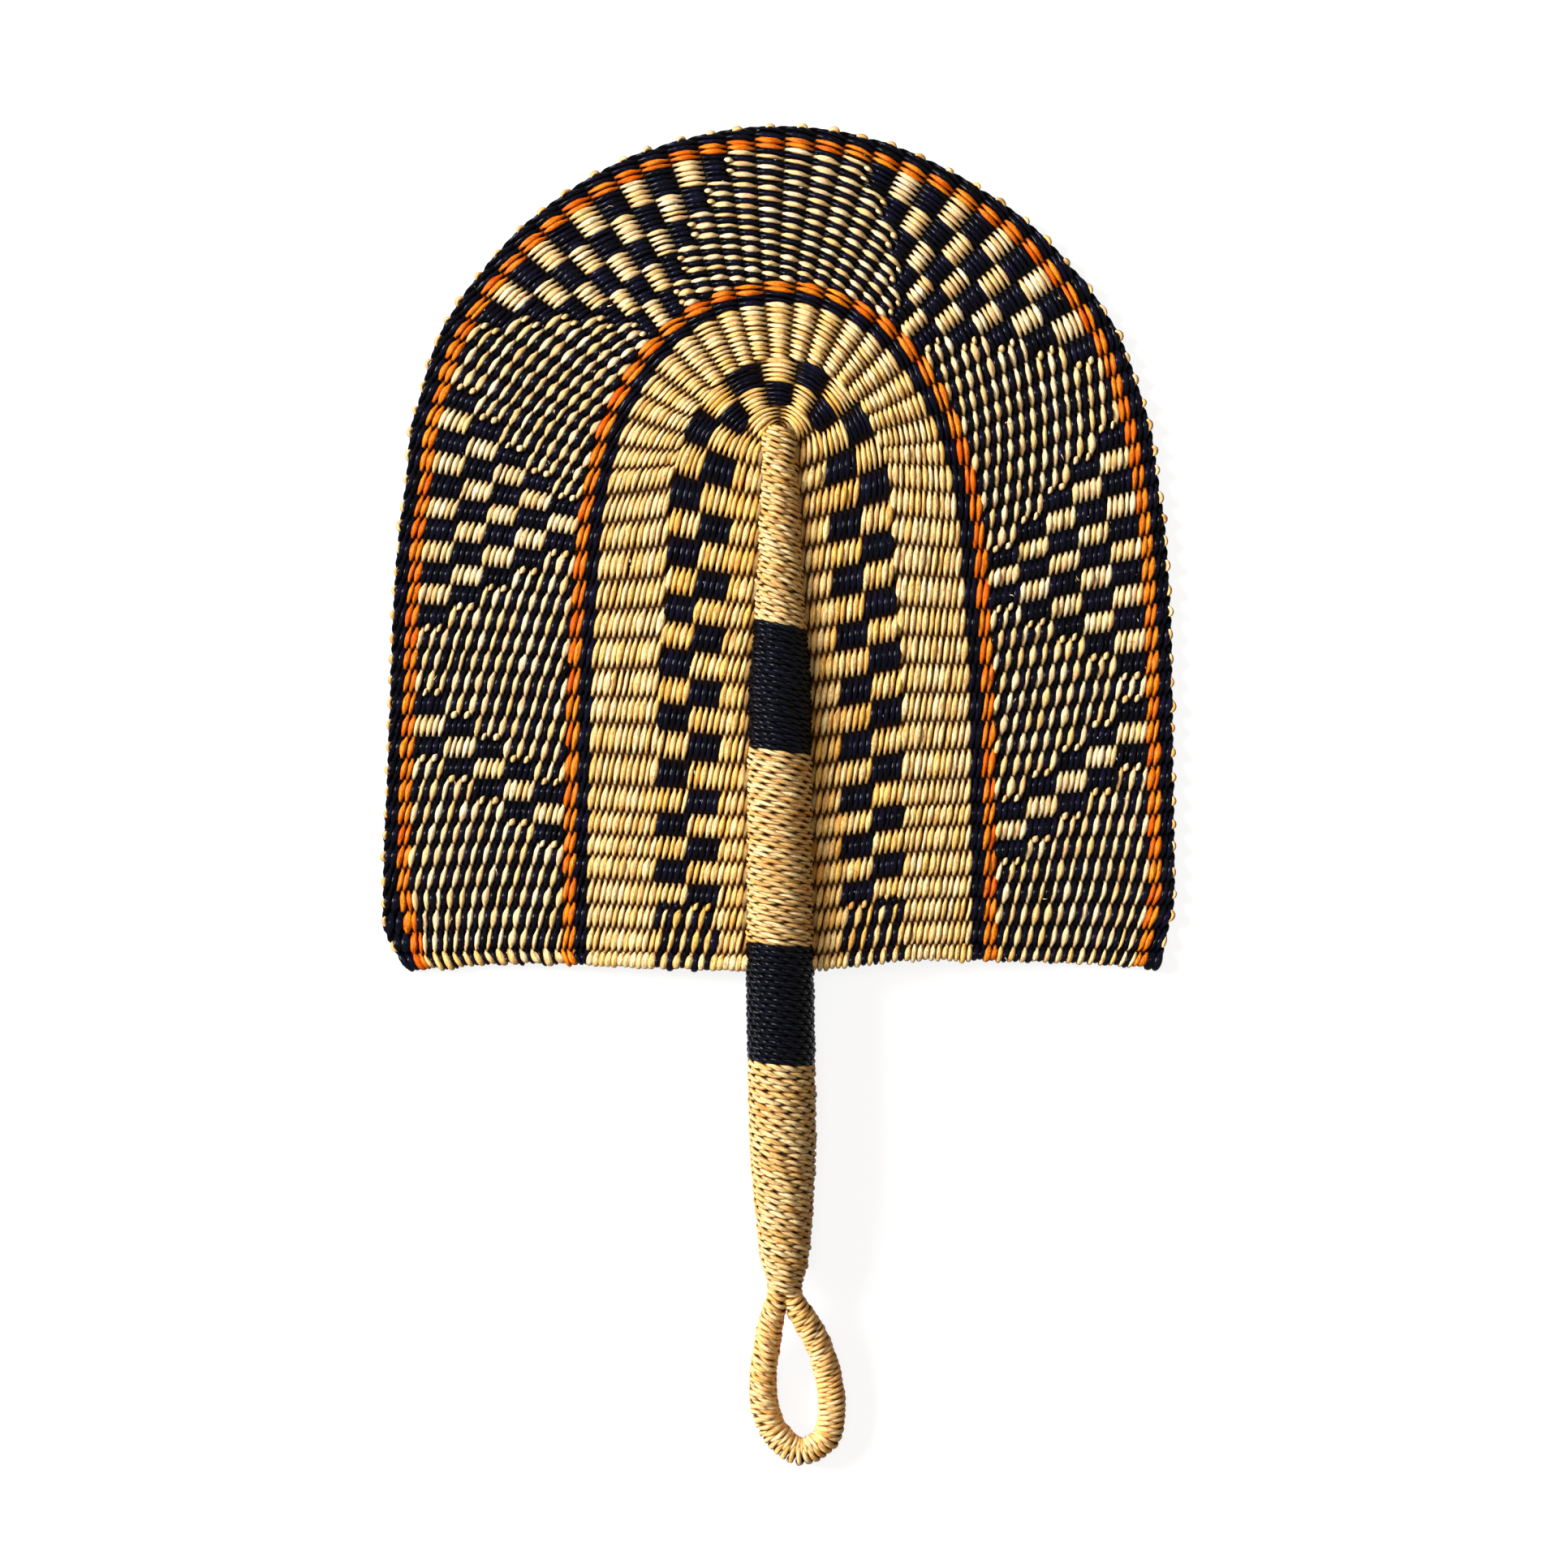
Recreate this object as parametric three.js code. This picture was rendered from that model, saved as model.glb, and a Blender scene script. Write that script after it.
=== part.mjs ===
// Woven hand fan: a twined straw blade on a wound handle that ends in a hanging loop.
// The fan lies face up. +X runs across the blade, +Y towards its crown, +Z out of its face.
// Heights are measured from the hem, the blade's lower edge, until the last step centres the fan.
import * as THREE from 'three';

// Blade outline, in millimetres
const bladeHeight = 270.5;         // hem to crown
const bladeHalfWidth = 124.5;      // handle axis to rim, where the crown's curve starts
const hemFlare = 2.5;              // how much wider each side gets towards the hem
const crownStart = 128.5;          // height where the outer rows leave their straight sides
const cornerTuck = 6.5;            // how far the rim turns in at the hem's corners
const cornerHeight = 17;           // height of that turn

// Rows of weave, counted outwards from the handle
const tipRowsEnd = 28;             // rows that still bend more tightly round the spine's tip
const tipRowsCrown = 216.7;        // height of the last of them at the crown's middle
const tipSqueeze = 1.15;           // how much closer the rows lie over the tip, 1 for an even pitch
const tipClearance = 2.0;          // spine's tip to the first row, along the handle
const rowGap = 0.2;                // clear stretch between neighbouring zones, as a share of a row

// Blade section
const weaveThickness = 3.2;        // two strands where they cross between stakes
const stakeRise = 0.7;             // how far a stake lifts the strands on each face
const nubLength = 0.9;             // stake ends that stand out of the rim
const hemWidth = 3.9;              // the closing row along the hem
const hemStitches = 30;            // its stitches on each side of the handle
const hemGap = 0.3;                // hem to the rows' ends, and to the handle

// Handle: outside radius of the wound cord at named heights above the hem
const spineTip = 172.5;
const spineTipRadius = 3.6;
const spineNeckHeight = 162;
const spineNeckRadius = 5.7;
const spineWaistHeight = 116;
const spineWaistRadius = 8.2;
const spineFootHeight = 94;
const spineFootRadius = 10.3;
const gripTopHeight = -2;
const gripRadius = 11.2;
const gripFootHeight = -72;
const wristHeight = -97;
const loopRootHeight = -104.5;
const handleToWeave = 0.4;         // cord to the first row beside it

// Cord and its windings
const cordThickness = 1.9;         // straw cord, measured away from the core
const turnGap = 0.45;              // clear gap between neighbouring turns
const windingGap = 0.3;            // cord to the core under it, and between windings
const turnSides = 8;               // straight steps in one turn
const tipWindingTurns = 24;
const upperNavyTurns = 20;
const middleWindingTurns = 24;
const lowerNavyTurns = 18;
const gripWindingTurns = 24;
const neckTurns = 3;
const upperNavyTop = 111.5;        // heights where the colour of the cord changes
const middleTop = 69.8;
const lowerNavyTop = 7.3;
const gripWindingTop = -30.5;

// Hanging loop
const loopCoreRadius = 1.9;
const loopWindingTurns = 24;
const loopTurnWidth = 1.9;         // width of the wound straw along the loop
const loopWindingStart = 0.105;    // share of the loop's length that is bare at each root
const loopLift = 0.5;              // lowest turn above the table
const loopSteps = 40;

const strawColour = 0xdcbc76;
const navyColour = 0x14172a;
const orangeColour = 0xd9630f;

// Zones of the weave: rows, and stakes from the crown's middle to its end and on down one side
const zones = [
  { name: 'inner_panel_near', rows: 15, crownStakes: 4, sideStakes: 19, colour: strawColour },
  { name: 'inner_panel_far', rows: 11, crownStakes: 12, sideStakes: 16, colour: strawColour },
  { name: 'inner_navy_rows', rows: 2, crownStakes: 13, sideStakes: 15, colour: navyColour },
  { name: 'inner_orange_rows', rows: 2, crownStakes: 13, sideStakes: 15, colour: orangeColour },
  { name: 'pattern_band', rows: 25, crownStakes: 23, sideStakes: 18, colour: 0x8d7850 },
  { name: 'outer_orange_rows', rows: 2, crownStakes: 23, sideStakes: 18, colour: orangeColour },
  { name: 'rim_navy_rows', rows: 2, crownStakes: 23, sideStakes: 18, colour: navyColour, rim: true },
];
const rowCount = zones.reduce((sum, zone) => sum + zone.rows, 0);
const rimRow = rowCount - zones.at(-1).rows;

// The loop's middle line, from root to root: right of the wrist's middle, and below its root
const loopPoints = [
  [-2.1, 7.3], [-2.1, 0], [-3.9, -5], [-6.2, -15.5], [-7.8, -31.5], [-3.5, -45], [5.4, -50.8],
  [12.9, -46.5], [15.2, -38], [12.9, -25], [8.4, -13.5], [4.1, -5], [2.1, 0], [2.1, 7.3],
];

const handleStations = [
  [loopRootHeight, neckRadius()],
  [wristHeight, neckRadius()],
  [gripFootHeight, gripRadius],
  [gripTopHeight, gripRadius],
  [spineFootHeight, spineFootRadius],
  [spineWaistHeight, spineWaistRadius],
  [spineNeckHeight, spineNeckRadius],
  [spineTip, spineTipRadius],
];
const gripLean = 1.6;              // how far the wrist stands to the right of the handle's axis
const axisHeight = gripRadius;
const rimHeight = weaveThickness / 2 + stakeRise;

// The binding at the wrist goes round both roots of the loop.
function neckRadius() {
  return loopPoints.at(-1)[0] + loopCoreRadius + windingGap + cordThickness;
}

function mix(a, b, share) {
  return a + (b - a) * share;
}

// Outside radius of the wound handle, straight between its stations.
function handleRadius(height) {
  const next = handleStations.findIndex(([station]) => station >= height);
  if (next === 0) return handleStations[0][1];
  if (next < 0) return handleStations.at(-1)[1];
  const [low, lowRadius] = handleStations[next - 1];
  const [high, highRadius] = handleStations[next];
  return mix(lowRadius, highRadius, (height - low) / (high - low));
}

// How far the handle's middle stands to the right: the grip leans evenly from its top to the wrist.
function leanAt(height) {
  const share = (gripTopHeight - height) / (gripTopHeight - wristHeight);
  return gripLean * Math.min(1, Math.max(0, share));
}

// Half of the width of a row at a height on its side, from the handle's edge to the rim's.
function sideReach(row, height) {
  const share = row / rowCount;
  const flare = hemFlare * Math.max(0, 1 - height / crownStart);
  const corner = Math.max(0, 1 - height / cornerHeight);
  const rimReach = bladeHalfWidth + flare - cornerTuck * corner ** 2 * share ** 6;
  return mix(handleRadius(height) + handleToWeave, rimReach, share);
}

// Height of a row's crown: the rows lie closer over the spine's tip, then at an even pitch.
function crownHeight(row) {
  if (row > tipRowsEnd) {
    return mix(tipRowsCrown, bladeHeight, (row - tipRowsEnd) / (rowCount - tipRowsEnd));
  }
  return mix(spineTip + tipClearance, tipRowsCrown, (row / tipRowsEnd) ** tipSqueeze);
}

// Height where a row leaves its side for the crown's curve.
function curveStart(row) {
  const share = Math.min(1, row / tipRowsEnd);
  return mix(crownStart, spineNeckHeight, (1 + Math.cos(Math.PI * share)) / 2);
}

// The blade leaves the handle level and comes down to lie on the table at its rim.
function weaveHeight(row) {
  const share = Math.min(1, row / rimRow);
  return mix(rimHeight, axisHeight, (1 + Math.cos(Math.PI * share)) / 2);
}

// One side of a row, from the middle of its crown to the hem, with a point at each stake and
// one between each two: an even pitch round the crown's quarter ellipse, another down the side.
function rowPoints(row, crownStakes, sideStakes) {
  const start = curveStart(row);
  const reach = sideReach(row, start);
  const crown = new THREE.EllipseCurve(0, start, reach, crownHeight(row) - start, Math.PI / 2, 0, true);
  const points = crown.getSpacedPoints(crownStakes * 2);
  for (let i = 1; i <= sideStakes * 2; i += 1) {
    const height = mix(start, hemWidth + hemGap, i / (sideStakes * 2));
    points.push(new THREE.Vector2(sideReach(row, height), height));
  }
  return points;
}

// A closed solid through rings of points: rings in order, points in order round each ring.
function loft(name, rings, colour) {
  const sides = rings[0].length;
  const positions = rings.flat().flatMap((point) => [point.x, point.y, point.z]);
  const faces = [];
  for (let ring = 0; ring + 1 < rings.length; ring += 1) {
    for (let side = 0; side < sides; side += 1) {
      const a = ring * sides + side;
      const b = ring * sides + ((side + 1) % sides);
      faces.push(a, b, b + sides, a, b + sides, a + sides);
    }
  }
  const last = (rings.length - 1) * sides;
  for (let side = 1; side + 1 < sides; side += 1) {
    faces.push(0, side + 1, side, last, last + side, last + side + 1);
  }
  if (signedVolume(positions, faces) < 0) faces.reverse();
  const geometry = new THREE.BufferGeometry();
  geometry.setAttribute('position', new THREE.Float32BufferAttribute(positions, 3));
  geometry.setIndex(faces);
  return namedMesh(name, geometry, colour);
}

function signedVolume(positions, faces) {
  const corner = (index) => new THREE.Vector3().fromArray(positions, faces[index] * 3);
  let volume = 0;
  for (let i = 0; i < faces.length; i += 3) {
    volume += corner(i).dot(corner(i + 1).cross(corner(i + 2))) / 6;
  }
  return volume;
}

function namedMesh(name, geometry, colour) {
  const material = new THREE.MeshStandardMaterial({ color: colour, roughness: 0.6, metalness: 0 });
  const mesh = new THREE.Mesh(geometry, material);
  mesh.name = name;
  return mesh;
}

// One zone of the weave, from hem over the crown to hem, with a rib at each stake.
function weaveZone({ name, rows, crownStakes, sideStakes, colour, rim = false }, firstRow) {
  const inner = firstRow === 0 ? 0 : firstRow + rowGap / 2;
  const outer = firstRow + rows - (rim ? 0 : rowGap / 2);
  const innerLine = rowPoints(inner, crownStakes, sideStakes);
  const outerLine = rowPoints(outer, crownStakes, sideStakes);
  const stakes = crownStakes + sideStakes;
  const rings = [];
  for (let i = -stakes * 2; i <= stakes * 2; i += 1) {
    const step = Math.abs(i);
    const side = i < 0 ? -1 : 1;
    const onStake = step % 2 === 0 && step < stakes * 2;
    const half = weaveThickness / 2 + (onStake ? stakeRise : 0);
    const under = rim ? rimHeight : half;
    const a = innerLine[step];
    const b = outerLine[step].clone();
    if (rim && onStake) b.add(outwardStep(outerLine, step).multiplyScalar(nubLength));
    rings.push([
      new THREE.Vector3(side * a.x, a.y, weaveHeight(inner) + half),
      new THREE.Vector3(side * b.x, b.y, weaveHeight(outer) + half),
      new THREE.Vector3(side * b.x, b.y, weaveHeight(outer) - under),
      new THREE.Vector3(side * a.x, a.y, weaveHeight(inner) - under),
    ]);
  }
  return loft(name, rings, colour);
}

// Direction square to a line and away from the blade, at one of its points.
function outwardStep(line, step) {
  if (step === 0) return new THREE.Vector2(0, 1);
  const along = line[step + 1].clone().sub(line[step - 1]).normalize();
  return new THREE.Vector2(-along.y, along.x);
}

// The closing row along the hem, on one side of the handle.
function hem(name, side) {
  const firstRow = hemGap * (rowCount / bladeHalfWidth);
  const rings = [];
  for (let i = 0; i <= hemStitches * 2; i += 1) {
    const row = mix(firstRow, rowCount, i / (hemStitches * 2));
    const rise = i % 2 === 1 ? stakeRise : 0;
    const half = weaveThickness / 2 + rise;
    const level = weaveHeight(row);
    const top = sideReach(row, hemWidth);
    const bottom = sideReach(row, 0);
    rings.push([
      new THREE.Vector3(side * bottom, 0, level + half),
      new THREE.Vector3(side * top, hemWidth, level + half),
      new THREE.Vector3(side * top, hemWidth, level - half),
      new THREE.Vector3(side * bottom, 0, level - half),
    ]);
  }
  return loft(name, rings, strawColour);
}

// The stick inside the handle, one cord and a clearance smaller than the winding on it.
function handleCore() {
  const under = cordThickness + windingGap;
  const profile = handleStations
    .filter(([height]) => height > loopRootHeight)
    .map(([height, radius]) => new THREE.Vector2(radius - under, height));
  const foot = new THREE.Vector2(0, profile[0].y);
  const tip = new THREE.Vector2(0, spineTip);
  const geometry = new THREE.LatheGeometry([foot, ...profile, tip], turnSides);
  const places = geometry.attributes.position;
  for (let i = 0; i < places.count; i += 1) {
    places.setX(i, places.getX(i) + leanAt(places.getY(i)));
  }
  const mesh = namedMesh('handle_core', geometry, 0xb8925a);
  mesh.position.z = axisHeight;
  return mesh;
}

// A cord wound down the handle from one height to another, as one unbroken tube.
function handleWinding(name, top, foot, turns, colour) {
  const pitch = (top - foot - windingGap + turnGap) / (turns + 1);
  const width = pitch - turnGap;
  const start = top - (windingGap + width) / 2;
  const centres = [];
  const rings = [];
  for (let i = 0; i <= turns * turnSides; i += 1) {
    const angle = (i / turnSides) * Math.PI * 2;
    const level = start - (i / turnSides) * pitch;
    const outside = handleRadius(level);
    const side = leanAt(level);
    const place = (radius, y) =>
      new THREE.Vector3(side + radius * Math.sin(angle), y, axisHeight + radius * Math.cos(angle));
    const middle = outside - cordThickness / 2;
    centres.push(place(middle, level));
    rings.push([
      place(outside, level),
      place(middle, level + width / 2),
      place(outside - cordThickness, level),
      place(middle, level - width / 2),
    ]);
  }
  console.log(`${name}: ${turns} turns, least gap ${leastGap(centres, width).toFixed(2)} mm`);
  return loft(name, rings, colour);
}

// Least clear distance between points of a winding that lie half a turn or more apart.
function leastGap(centres, width) {
  let least = Infinity;
  for (let i = 0; i < centres.length; i += 1) {
    for (let j = i + turnSides / 2; j < centres.length; j += 1) {
      least = Math.min(least, centres[i].distanceTo(centres[j]) - width);
    }
  }
  return least;
}

// The loop's middle line. It leaves the handle on its axis and droops to the table.
function loopCurve() {
  const windingRadius = loopCoreRadius + windingGap + cordThickness;
  const lowest = windingRadius + loopLift;
  const deepest = Math.min(...loopPoints.map(([, y]) => y));
  const points = loopPoints.map(([x, y]) => {
    const share = Math.max(0, y / deepest);
    const height = mix(axisHeight, lowest, share * (2 - share));
    return new THREE.Vector3(gripLean + x, loopRootHeight + y, height);
  });
  return new THREE.CatmullRomCurve3(points, false, 'centripetal');
}

function loopCore(curve) {
  const section = new THREE.Shape();
  for (let i = 0; i < turnSides; i += 1) {
    const angle = (i / turnSides) * Math.PI * 2;
    const x = loopCoreRadius * Math.cos(angle);
    const y = loopCoreRadius * Math.sin(angle);
    if (i === 0) section.moveTo(x, y);
    else section.lineTo(x, y);
  }
  section.closePath();
  const geometry = new THREE.ExtrudeGeometry(section, { steps: loopSteps, extrudePath: curve });
  return namedMesh('loop_core', geometry, 0xb8925a);
}

// The straw wound round the loop's cord, square to it all the way.
function loopWinding(curve) {
  const outside = loopCoreRadius + windingGap + cordThickness;
  const middle = outside - cordThickness / 2;
  const steps = loopWindingTurns * turnSides;
  const centres = [];
  const rings = [];
  for (let i = 0; i <= steps; i += 1) {
    const share = mix(loopWindingStart, 1 - loopWindingStart, i / steps);
    const along = curve.getTangentAt(share);
    const across = new THREE.Vector3(-along.y, along.x, 0).normalize();
    const up = new THREE.Vector3().crossVectors(along, across);
    const angle = (i / turnSides) * Math.PI * 2;
    const away = across.multiplyScalar(Math.cos(angle)).addScaledVector(up, Math.sin(angle));
    const centre = curve.getPointAt(share);
    const place = (radius, shift) =>
      centre.clone().addScaledVector(away, radius).addScaledVector(along, shift);
    centres.push(place(middle, 0));
    rings.push([
      place(outside, 0),
      place(middle, loopTurnWidth / 2),
      place(outside - cordThickness, 0),
      place(middle, -loopTurnWidth / 2),
    ]);
  }
  const gap = leastGap(centres, loopTurnWidth).toFixed(2);
  console.log(`loop_winding: ${loopWindingTurns} turns, least gap ${gap} mm`);
  return loft('loop_winding', rings, strawColour);
}

function blade() {
  const group = new THREE.Group();
  let firstRow = 0;
  for (const zone of zones) {
    group.add(weaveZone(zone, firstRow));
    firstRow += zone.rows;
  }
  group.add(hem('hem_left', -1), hem('hem_right', 1));
  return group;
}

function handle() {
  const group = new THREE.Group();
  group.add(handleCore());
  group.add(handleWinding('tip_winding', spineTip, upperNavyTop, tipWindingTurns, strawColour));
  group.add(handleWinding('upper_navy_winding', upperNavyTop, middleTop, upperNavyTurns, navyColour));
  group.add(handleWinding('middle_winding', middleTop, lowerNavyTop, middleWindingTurns, strawColour));
  group.add(
    handleWinding('lower_navy_winding', lowerNavyTop, gripWindingTop, lowerNavyTurns, navyColour),
  );
  group.add(handleWinding('grip_winding', gripWindingTop, wristHeight, gripWindingTurns, strawColour));
  group.add(handleWinding('wrist_binding', wristHeight, loopRootHeight, neckTurns, strawColour));
  const curve = loopCurve();
  group.add(loopCore(curve), loopWinding(curve));
  return group;
}

// The fan's own origin: the middle of its length and width, on the table.
const fan = new THREE.Group();
fan.add(blade(), handle());
fan.updateMatrixWorld(true);
const extent = new THREE.Box3().setFromObject(fan);
fan.position.y = -(extent.min.y + extent.max.y) / 2;
fan.position.z = -extent.min.z;

export default fan;
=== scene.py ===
import bpy
import numpy as np
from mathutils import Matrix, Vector


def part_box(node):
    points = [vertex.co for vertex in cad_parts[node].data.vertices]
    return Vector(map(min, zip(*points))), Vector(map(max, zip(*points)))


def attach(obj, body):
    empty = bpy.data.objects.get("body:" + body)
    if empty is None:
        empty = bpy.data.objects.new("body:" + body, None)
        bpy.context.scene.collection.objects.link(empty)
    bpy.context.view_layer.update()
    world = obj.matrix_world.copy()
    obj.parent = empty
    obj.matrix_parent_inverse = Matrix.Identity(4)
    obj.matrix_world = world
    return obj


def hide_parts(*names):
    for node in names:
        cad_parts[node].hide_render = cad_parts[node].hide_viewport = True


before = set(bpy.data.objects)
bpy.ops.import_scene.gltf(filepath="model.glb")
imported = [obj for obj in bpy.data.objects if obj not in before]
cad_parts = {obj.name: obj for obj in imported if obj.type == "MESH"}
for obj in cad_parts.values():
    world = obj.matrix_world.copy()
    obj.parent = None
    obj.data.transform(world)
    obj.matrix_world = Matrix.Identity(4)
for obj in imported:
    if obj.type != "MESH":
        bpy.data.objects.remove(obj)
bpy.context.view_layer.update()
scene = bpy.context.scene
print("frame loaded:", len(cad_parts), "solids")

# All shapes are worked out in millimetres. A height is measured from the hem, the blade's lower edge.
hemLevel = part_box("hem_left")[0].y * 1000
axisLift = (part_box("grip_winding")[0].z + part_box("grip_winding")[1].z) * 500
rimLift = (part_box("rim_navy_rows")[0].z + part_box("rim_navy_rows")[1].z) * 500


def mix(a, b, share):
    # a where the share is nought, b where it is 1, and evenly between
    return a + (b - a) * share


def lengthAlong(points):
    # the length of the line through the points, up to each one
    return np.concatenate([[0], np.cumsum(np.linalg.norm(np.diff(points, axis=0), axis=1))])


def easedTable(value, places, amounts):
    # between two places the amount follows 3t^2 - 2t^3, so the slope is nought at each place
    value = np.clip(value, places[0], places[-1])
    after = np.clip(np.searchsorted(places, value), 1, len(places) - 1)
    low, high = np.take(places, after - 1), np.take(places, after)
    share = (value - low) / (high - low)
    return mix(np.take(amounts, after - 1), np.take(amounts, after), share * share * (3 - 2 * share))


# the blade's form, as in the frame's solids
blade = {
    "rows": 59, "tipRows": 28, "rimRow": 57,
    "height": 270.5, "halfWidth": 124.5, "hemFlare": 2.5, "rowEnd": 2.2, "besideHandle": -1.1,
    "crownStart": 128.5, "curveFoot": 162.0, "firstCrown": 174.5, "tipRowsCrown": 216.7, "tipSqueeze": 1.15,
    "handleHeights": [-104.5, -97, -72, -2, 94, 116, 162, 172.5],
    "handleRadii": [6.2, 6.2, 11.2, 11.2, 10.3, 8.2, 5.7, 3.6],
}

# what the hand that wove it left uneven: the rim's reach at some heights, and the hem's wave
uneven = {
    "rimHeights": [0, 24, 102, 154, 180, 207, 233, 259, 272],
    "rimLeft": [0.4, 0.7, -0.4, -2.2, 0.6, 3.5, 3.6, 2.8, 0.0],
    "rimRight": [0.2, 0.2, 0.6, -0.7, 1.0, 3.1, 2.4, 0.0, 0.0],
    "hemPlaces": [-128, -119, -84, -10, 10, 47, 90, 120, 128],
    "hemRises": [-1.2, -1.2, 0.8, -1.0, -1.1, 2.4, 1.2, -0.6, -0.8],
    "hemFade": 30.0,
    # how far the rows draw in at the hem's corners, at the last orange row and at the rim
    "cornerHeights": [0, 4, 8, 11, 14, 18, 26],
    "orangeLeft": [7.0, 6.3, 5.3, 4.4, 3.5, 2.4, 0.0],
    "orangeRight": [6.4, 5.2, 3.7, 3.0, 2.3, 1.3, 0.0],
    "edgeLeft": [7.2, 5.3, 3.0, 1.6, 0.7, 0.1, 0.0],
    "edgeRight": [4.6, 4.4, 3.8, 3.0, 2.1, 0.8, 0.0],
    "cornerRow": 56,
    "cornerPower": 5.5,
    "middleWidth": 25.0,
}


def sideReach(row, height):
    # straight from the handle's edge to the rim's, by the row's share of all rows
    share = row / blade["rows"]
    flare = blade["hemFlare"] * np.maximum(0, 1 - height / blade["crownStart"])
    handle = np.interp(height, blade["handleHeights"], blade["handleRadii"]) + blade["besideHandle"]
    return mix(handle, blade["halfWidth"] + flare, share)


def unevenReach(x, row, height, side):
    # the reach with what is uneven in the real one: an amount that grows with the row's share and
    # with tanh(x / middle width), less the tuck at the hem's corner, which fades inwards as
    # (row / corner row) ^ power
    rims = [easedTable(height, uneven["rimHeights"], uneven[key]) for key in ("rimLeft", "rimRight")]
    pastCorner = np.clip((row - uneven["cornerRow"]) / (blade["rows"] - uneven["cornerRow"]), 0, 1)
    tucks = [mix(easedTable(height, uneven["cornerHeights"], uneven["orange" + key]),
                 easedTable(height, uneven["cornerHeights"], uneven["edge" + key]), pastCorner)
             for key in ("Left", "Right")]
    grown = np.where(side < 0, *rims) * np.tanh(x / uneven["middleWidth"]) * row / blade["rows"]
    fade = np.clip(row / uneven["cornerRow"], 0, 1) ** uneven["cornerPower"]
    return x + grown - np.where(side < 0, *tucks) * fade


def crownHeight(row):
    # the rows lie closer over the spine's tip, as share ^ squeeze, then at an even pitch
    share = row / blade["tipRows"]
    squeezed = np.sign(share) * np.abs(share) ** blade["tipSqueeze"]
    inner = mix(blade["firstCrown"], blade["tipRowsCrown"], squeezed)
    outerShare = (row - blade["tipRows"]) / (blade["rows"] - blade["tipRows"])
    return np.where(share < 1, inner, mix(blade["tipRowsCrown"], blade["height"], outerShare))


def curveStart(row):
    # the height where the crown's curve starts, along half a cosine wave from the first row outwards
    share = np.clip(row / blade["tipRows"], 0, 1)
    return mix(blade["crownStart"], blade["curveFoot"], (1 + np.cos(np.pi * share)) / 2)


def weaveLift(row):
    # the blade leaves the handle level and comes down to the table along half a cosine wave
    share = np.clip(row / blade["rimRow"], 0, 1)
    return mix(rimLift, axisLift, (1 + np.cos(np.pi * share)) / 2)


def rowPlace(row, u):
    # u runs from -2 at the left hem over 0 at the crown to 2 at the right hem: a quarter
    # ellipse where |u| < 1, then the straight side, and last what is uneven in the real one
    row, u = np.broadcast_arrays(np.asarray(row, float), np.asarray(u, float))
    turn = np.minimum(np.abs(u), 1) * np.pi / 2
    start = curveStart(row)
    curveX = sideReach(row, start) * np.sin(turn)
    curveH = start + (crownHeight(row) - start) * np.cos(turn)
    sideH = mix(start, blade["rowEnd"], np.maximum(np.abs(u) - 1, 0))
    x = np.where(np.abs(u) > 1, sideReach(row, sideH), curveX)
    height = np.where(np.abs(u) > 1, sideH, curveH)
    x = np.sign(u) * unevenReach(x, row, height, u)
    wave = easedTable(x, uneven["hemPlaces"], uneven["hemRises"])
    return np.stack([x, height + wave * np.exp(-np.maximum(height, 0) / uneven["hemFade"])], -1)


rulerSteps = np.linspace(-2, 2, 1601)


def rowRuler(row):
    # length along the row from the middle of its crown, at each of the ruler's steps
    lengths = lengthAlong(rowPlace(row, rulerSteps))
    return lengths - np.interp(0, rulerSteps, lengths)


# where each stake crosses a row, from the crown's middle down one side, in millimetres
stakeTables = {
    "near": {
        "rows": (0, 15), "numbers": [0, 3, 6, 16, 23],
        "right": ([0, 12.5, 38, 127, 180], [0, 36.5, 70, 161, 214]),
        "left": ([0, 12.5, 39, 127, 180], [0, 38.5, 71, 161, 214]),
        "last": (23, 23), "uneven": 0.06, "seed": 11,
    },
    "far": {
        "rows": (15, 30), "numbers": [0, 10, 21, 28],
        "right": ([0, 55, 161, 214], [0, 99, 200, 254]),
        "left": ([0, 55, 161, 214], [0, 99, 200, 254]),
        "last": (28, 28), "uneven": 0.11, "seed": 12,
    },
    "band": {
        "rows": (30, 59), "tableRows": (33, 53), "numbers": [0, 8, 13, 22, 40],
        "leftNumbers": [0, 8, 13, 22, 43],
        "right": ([3, 49, 80.5, 138.5, 262.5], [6, 77, 121, 186.5, 319]),
        "left": ([-3, 43.5, 71, 120.5, 262.5], [-6, 65, 109, 172.5, 319]),
        "last": (43, 40), "uneven": 0.06, "seed": 13,
    },
}


def stakePlaces(zoneName, row):
    # each side's table, mixed between its two rows and stretched to this row's real length
    table = stakeTables[zoneName]
    low, high = table.get("tableRows", table["rows"])
    share = (row - low) / (high - low)
    lengths = rowRuler(row)
    rng = np.random.default_rng(table["seed"])
    sides = []
    for side, total, last in (("left", -lengths[0], table["last"][0]),
                              ("right", lengths[-1], table["last"][1])):
        numbers = table.get(side + "Numbers", table["numbers"])
        amounts = mix(np.array(table[side][0]), np.array(table[side][1]), share)
        places = np.interp(np.arange(last + 1), numbers, amounts) * total / amounts[-1]
        shift = rng.uniform(-1, 1, last + 1) * table["uneven"] * np.gradient(places)
        shift[[0, -1]] = 0
        sides.append(places + shift)
    numbers = np.arange(-table["last"][0], table["last"][1] + 1)
    return numbers, np.concatenate([-sides[0][:0:-1], sides[1]])


def leftOf(direction):
    # square to the direction, in the table's plane
    return np.column_stack([-direction[:, 1], direction[:, 0], np.zeros(len(direction))])


layRange = (0, 5000)    # each strand starts somewhere else in the pattern of the straw


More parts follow.
